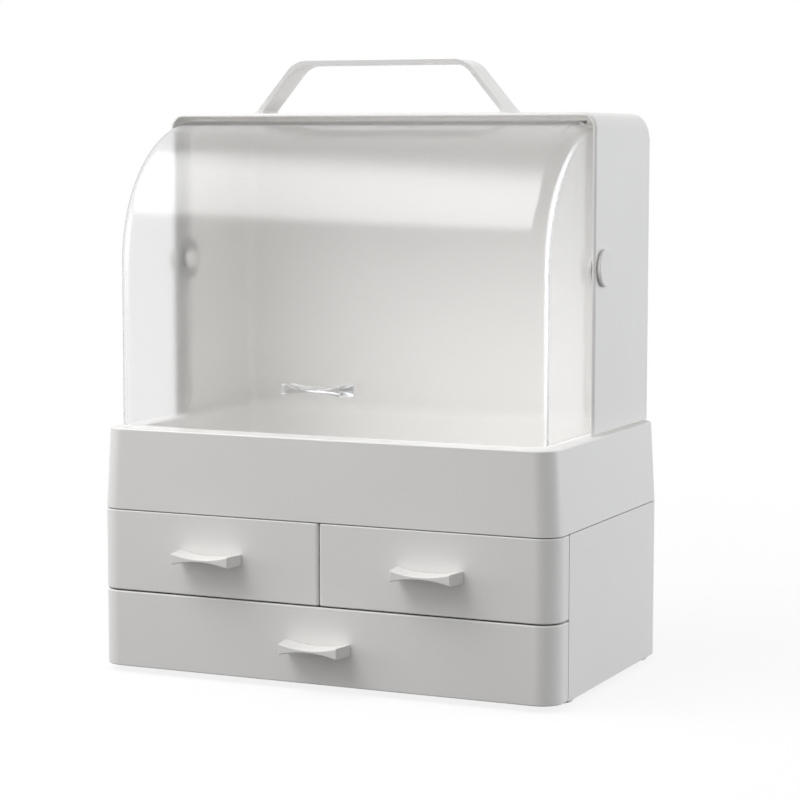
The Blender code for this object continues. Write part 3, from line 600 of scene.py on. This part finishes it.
def make_handle():
    low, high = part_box("handle")
    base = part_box("rear_shell")[1].z + SEAT_GAP
    top = high.z
    foot = high.x - HANDLE_FLARE
    shoulder = HANDLE_TOP_SPAN / 2
    lean = math.atan2(foot - shoulder, top - base)
    across = HANDLE_THICKNESS / math.cos(lean)

    def outer_x(z):
        return foot - (foot - shoulder) * (z - base) / (top - base)

    def flare(offset, sign):
        points = []
        for i in range(CORNER_STEPS + 1):
            angle = math.pi / 2 * i / CORNER_STEPS
            z = base + HANDLE_FLARE * (1 - math.cos(angle))
            points.append((outer_x(z) - offset + sign * HANDLE_FLARE * (1 - math.sin(angle)), z))
        return points

    inner_top = top - HANDLE_THICKNESS
    inner_corner = (outer_x(inner_top) - across, inner_top)
    outer = flare(0, 1) + fillet((foot, base), (shoulder, top), (0, top), HANDLE_BEND, CORNER_STEPS)
    inner = flare(across, -1) + fillet(
        (foot - across, base), inner_corner, (0, inner_top), HANDLE_BEND - HANDLE_THICKNESS, CORNER_STEPS
    )
    outline = outer + [(-x, z) for x, z in reversed(outer)]
    outline += [(-x, z) for x, z in inner] + list(reversed(inner))
    handle = loft("handle_strap", [[(x, y, z) for x, z in outline] for y in (low.y, high.y)])
    soften(handle, HANDLE_EDGE, EDGE_STEPS)
    bake(handle)
    smooth(handle)
    dress(handle, WHITE, "case", "white_plastic", "handle")


# Pulls

def make_pull(label, carrier, material, slot):
    """A bow-tie bar on the front of the drawer or lid that carries it."""
    node = label + "_pull"
    low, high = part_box(node)
    middle_x = (low.x + high.x) / 2
    middle_z = (low.z + high.z) / 2
    half_root = (high.x - low.x) / 2
    root_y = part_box(carrier)[0].y - SEAT_GAP
    reach = root_y - low.y
    rings = []
    for i in range(PULL_STATIONS + 1):
        share = 2 * i / PULL_STATIONS - 1
        half = (PULL_WAIST + (PULL_END_HEIGHT - PULL_WAIST) * share ** 2) / 2
        edge = min(PULL_EDGE, half)
        section = [(0, -half)]
        section += arc((-reach + edge, -half + edge), edge, 270, 180, EDGE_STEPS)
        section += arc((-reach + edge, half - edge), edge, 180, 90, EDGE_STEPS)
        section.append((0, half))
        ring = []
        for y, z in section:
            narrow = 1 + (PULL_TIP_SHARE - 1) * (-y / reach)
            ring.append((middle_x + share * half_root * narrow, root_y + y, middle_z + z))
        rings.append(ring)
    pull = loft(node + "_bar", rings)
    soften(pull, EDGE_RADIUS, BAR_EDGE_STEPS)
    bake(pull)
    smooth(pull)
    dress(pull, material, carrier, slot, node)


# Hinges

def make_pin(end, side):
    """A cap outside the shell with a faint dish in its face, on a stem."""
    node = "hinge_pin_" + end
    low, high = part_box(node)
    pivot_y, pivot_z = pivot()
    outer = max(abs(low.x), abs(high.x))
    inner = min(abs(low.x), abs(high.x))
    cap = (high.z - low.z) / 2
    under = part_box("rear_shell")[1].x + SEAT_GAP
    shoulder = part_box("lid")[1].x - LID_WALL
    profile = [(PIN_TIP_RADIUS, inner), (PIN_TIP_RADIUS, shoulder)]
    profile += [(PIN_STEM_RADIUS, shoulder), (PIN_STEM_RADIUS, under), (cap, under)]
    for i in range(EDGE_STEPS + 1):
        angle = math.pi / 2 * i / EDGE_STEPS
        profile.append((cap - PIN_EDGE * (1 - math.cos(angle)), outer - PIN_EDGE * (1 - math.sin(angle))))
    profile += [(cap * share, outer - PIN_EDGE * depth_share) for share, depth_share in PIN_DISH_SHARES]
    pin = turned(node + "_turned", profile, (0, pivot_y, pivot_z), (side, 0, 0))
    smooth(pin)
    dress(pin, WHITE, "case", "white_plastic", node)


def make_knob(end, side):
    """A button on the pin's tip, which keeps the lid on."""
    node = "hinge_knob_" + end
    low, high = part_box(node)
    pivot_y, pivot_z = pivot()
    inner = min(abs(low.x), abs(high.x))
    outer = max(abs(low.x), abs(high.x))
    radius = (high.z - low.z) / 2
    profile = [(radius * share, inner + KNOB_EDGE * depth_share) for share, depth_share in KNOB_DISH_SHARES]
    for i in range(EDGE_STEPS + 1):
        angle = math.pi / 2 * i / EDGE_STEPS
        inward = KNOB_EDGE * (1 - math.sin(angle))
        profile.append((radius - inward, inner + KNOB_EDGE * (1 - math.cos(angle))))
    profile.append((radius, outer))
    knob = turned(node + "_turned", profile, (0, pivot_y, pivot_z), (side, 0, 0))
    smooth(knob)
    dress(knob, WHITE, "case", "white_plastic", node)


# Studio

def rays_that_look(tree):
    """A factor of 1 for camera, glossy and transmission rays, which see the backdrop, and 0 for others."""
    path = tree.nodes.new("ShaderNodeLightPath")
    factor = path.outputs["Is Camera Ray"]
    for kind in ("Is Glossy Ray", "Is Transmission Ray"):
        either = tree.nodes.new("ShaderNodeMath")
        either.operation = "MAXIMUM"
        tree.links.new(factor, either.inputs[0])
        tree.links.new(path.outputs[kind], either.inputs[1])
        factor = either.outputs[0]
    return factor


def make_floor():
    """A floor that shows white with the object's shadow, and fades into the backdrop further off."""
    material = bpy.data.materials.new("studio_floor")
    material.use_nodes = True
    tree = material.node_tree
    tree.nodes.clear()
    diffuse = tree.nodes.new("ShaderNodeBsdfDiffuse")
    looks = rays_that_look(tree)
    tone = tree.nodes.new("ShaderNodeMapRange")
    tone.inputs["To Min"].default_value = FLOOR_BOUNCE_TONE
    tone.inputs["To Max"].default_value = FLOOR_TONE
    tree.links.new(looks, tone.inputs["Value"])
    tree.links.new(tone.outputs["Result"], diffuse.inputs["Color"])
    glow = tree.nodes.new("ShaderNodeEmission")
    glow.inputs["Strength"].default_value = 1.0
    place = tree.nodes.new("ShaderNodeNewGeometry")
    distance = tree.nodes.new("ShaderNodeVectorMath")
    distance.operation = "LENGTH"
    fade = tree.nodes.new("ShaderNodeMapRange")
    fade.interpolation_type = "SMOOTHSTEP"
    fade.inputs["From Min"].default_value = FLOOR_FADE_START
    fade.inputs["From Max"].default_value = FLOOR_FADE_END
    fade.inputs["To Min"].default_value = FLOOR_GLOW_SHARE
    fade.inputs["To Max"].default_value = 1.0
    share = tree.nodes.new("ShaderNodeMath")
    share.operation = "MULTIPLY"
    mix = tree.nodes.new("ShaderNodeMixShader")
    output = tree.nodes.new("ShaderNodeOutputMaterial")
    tree.links.new(place.outputs["Position"], distance.inputs[0])
    tree.links.new(distance.outputs["Value"], fade.inputs["Value"])
    tree.links.new(fade.outputs["Result"], share.inputs[0])
    tree.links.new(looks, share.inputs[1])
    tree.links.new(share.outputs[0], mix.inputs["Fac"])
    tree.links.new(diffuse.outputs[0], mix.inputs[1])
    tree.links.new(glow.outputs[0], mix.inputs[2])
    tree.links.new(mix.outputs[0], output.inputs["Surface"])
    bpy.ops.mesh.primitive_plane_add(size=FLOOR_SIZE, location=(0, 0, -SEAT_GAP))
    floor = bpy.context.object
    floor.name = "studio_floor"
    floor.data.materials.append(material)


def make_world():
    """White where the camera, glass and gloss look past the object, and an even dim room for light."""
    world = bpy.data.worlds.new("studio")
    bpy.context.scene.world = world
    world.use_nodes = True
    tree = world.node_tree
    tree.nodes.clear()
    room = tree.nodes.new("ShaderNodeBackground")
    room.inputs["Color"].default_value = PLAIN_WHITE
    room.inputs["Strength"].default_value = ROOM_LIGHT
    white = tree.nodes.new("ShaderNodeBackground")
    white.inputs["Color"].default_value = PLAIN_WHITE
    white.inputs["Strength"].default_value = 1.0
    mix = tree.nodes.new("ShaderNodeMixShader")
    output = tree.nodes.new("ShaderNodeOutputWorld")
    tree.links.new(rays_that_look(tree), mix.inputs["Fac"])
    tree.links.new(room.outputs[0], mix.inputs[1])
    tree.links.new(white.outputs[0], mix.inputs[2])
    tree.links.new(mix.outputs[0], output.inputs["Surface"])


def ramp_along(tree, coordinate, start_share, end_share):
    """Rises from 0 to 1 over the first share of a 0 to 1 coordinate, and falls back over the last share."""
    edges = []
    for source_min, source_max in ((0.0, start_share), (1.0, 1.0 - end_share)):
        edge = tree.nodes.new("ShaderNodeMapRange")
        edge.interpolation_type = "SMOOTHERSTEP"
        edge.inputs["From Min"].default_value = source_min
        edge.inputs["From Max"].default_value = source_max
        tree.links.new(coordinate, edge.inputs["Value"])
        edges.append(edge.outputs["Result"])
    both = tree.nodes.new("ShaderNodeMath")
    both.operation = "MULTIPLY"
    tree.links.new(edges[0], both.inputs[0])
    tree.links.new(edges[1], both.inputs[1])
    return both.outputs[0]


def make_panel(name, place, turn, size, radiance, color, soft_shares):
    """A soft box: a rectangular lamp whose glow fades at its left, right, lower and upper edges."""
    data = bpy.data.lights.new(name, "AREA")
    data.shape = "RECTANGLE"
    data.size, data.size_y = size
    data.energy = radiance * math.pi * size[0] * size[1]
    data.color = color
    data.use_nodes = True
    tree = data.node_tree
    emission = tree.nodes["Emission"]
    where = tree.nodes.new("ShaderNodeTexCoord")
    split = tree.nodes.new("ShaderNodeSeparateXYZ")
    tree.links.new(where.outputs["UV"], split.inputs["Vector"])
    across = ramp_along(tree, split.outputs["X"], soft_shares[0], soft_shares[1])
    along = ramp_along(tree, split.outputs["Y"], soft_shares[2], soft_shares[3])
    both = tree.nodes.new("ShaderNodeMath")
    both.operation = "MULTIPLY"
    tree.links.new(across, both.inputs[0])
    tree.links.new(along, both.inputs[1])
    tree.links.new(both.outputs[0], emission.inputs["Strength"])
    lamp = bpy.data.objects.new(name, data)
    lamp.location = place
    lamp.rotation_euler = [math.radians(angle) for angle in turn]
    bpy.context.scene.collection.objects.link(lamp)


def make_camera():
    data = bpy.data.cameras.new("camera")
    data.sensor_width = CAMERA_SENSOR
    data.lens = CAMERA_LENS
    camera = bpy.data.objects.new("camera", data)
    turn = Matrix.Rotation(CAMERA_TURN, 4, "Z") @ Matrix.Rotation(math.pi / 2 - CAMERA_DROP, 4, "X")
    camera.matrix_world = Matrix.Translation(CAMERA_PLACE) @ turn @ Matrix.Rotation(CAMERA_ROLL, 4, "Z")
    bpy.context.scene.collection.objects.link(camera)
    bpy.context.scene.camera = camera


def make_studio():
    make_floor()
    make_world()
    make_camera()
    for name, lamp in LAMPS.items():
        make_panel(name, **lamp)
    scene = bpy.context.scene
    scene.view_settings.view_transform = "Standard"
    scene.cycles.max_bounces = GLASS_BOUNCES
    scene.cycles.transmission_bounces = GLASS_BOUNCES
    scene.cycles.diffuse_bounces = DIFFUSE_BOUNCES
    scene.cycles.glossy_bounces = DIFFUSE_BOUNCES
    scene.cycles.transparent_max_bounces = SHADOW_SURFACES


# Everything together

make_tray()
make_shell()
make_lid()
make_handle()
make_pull("lid", "lid", CLEAR, "clear_plastic")
for label in ("bottom", "left", "right"):
    make_pull(label, label + "_drawer", WHITE, "white_plastic")
    dress_node(label + "_drawer", WHITE, EDGE_RADIUS)
    for end in ("left", "right"):
        dress_node(f"{label}_pull_screw_{end}", STEEL)
for end, side in (("left", -1), ("right", 1)):
    make_pin(end, side)
    make_knob(end, side)
    dress_node("hinge_washer_" + end, RUBBER, WASHER_EDGE)
    dress_node("foot_front_" + end, RUBBER)
    dress_node("foot_back_" + end, RUBBER)
dress_node("drawer_housing", WHITE, EDGE_RADIUS)
make_studio()
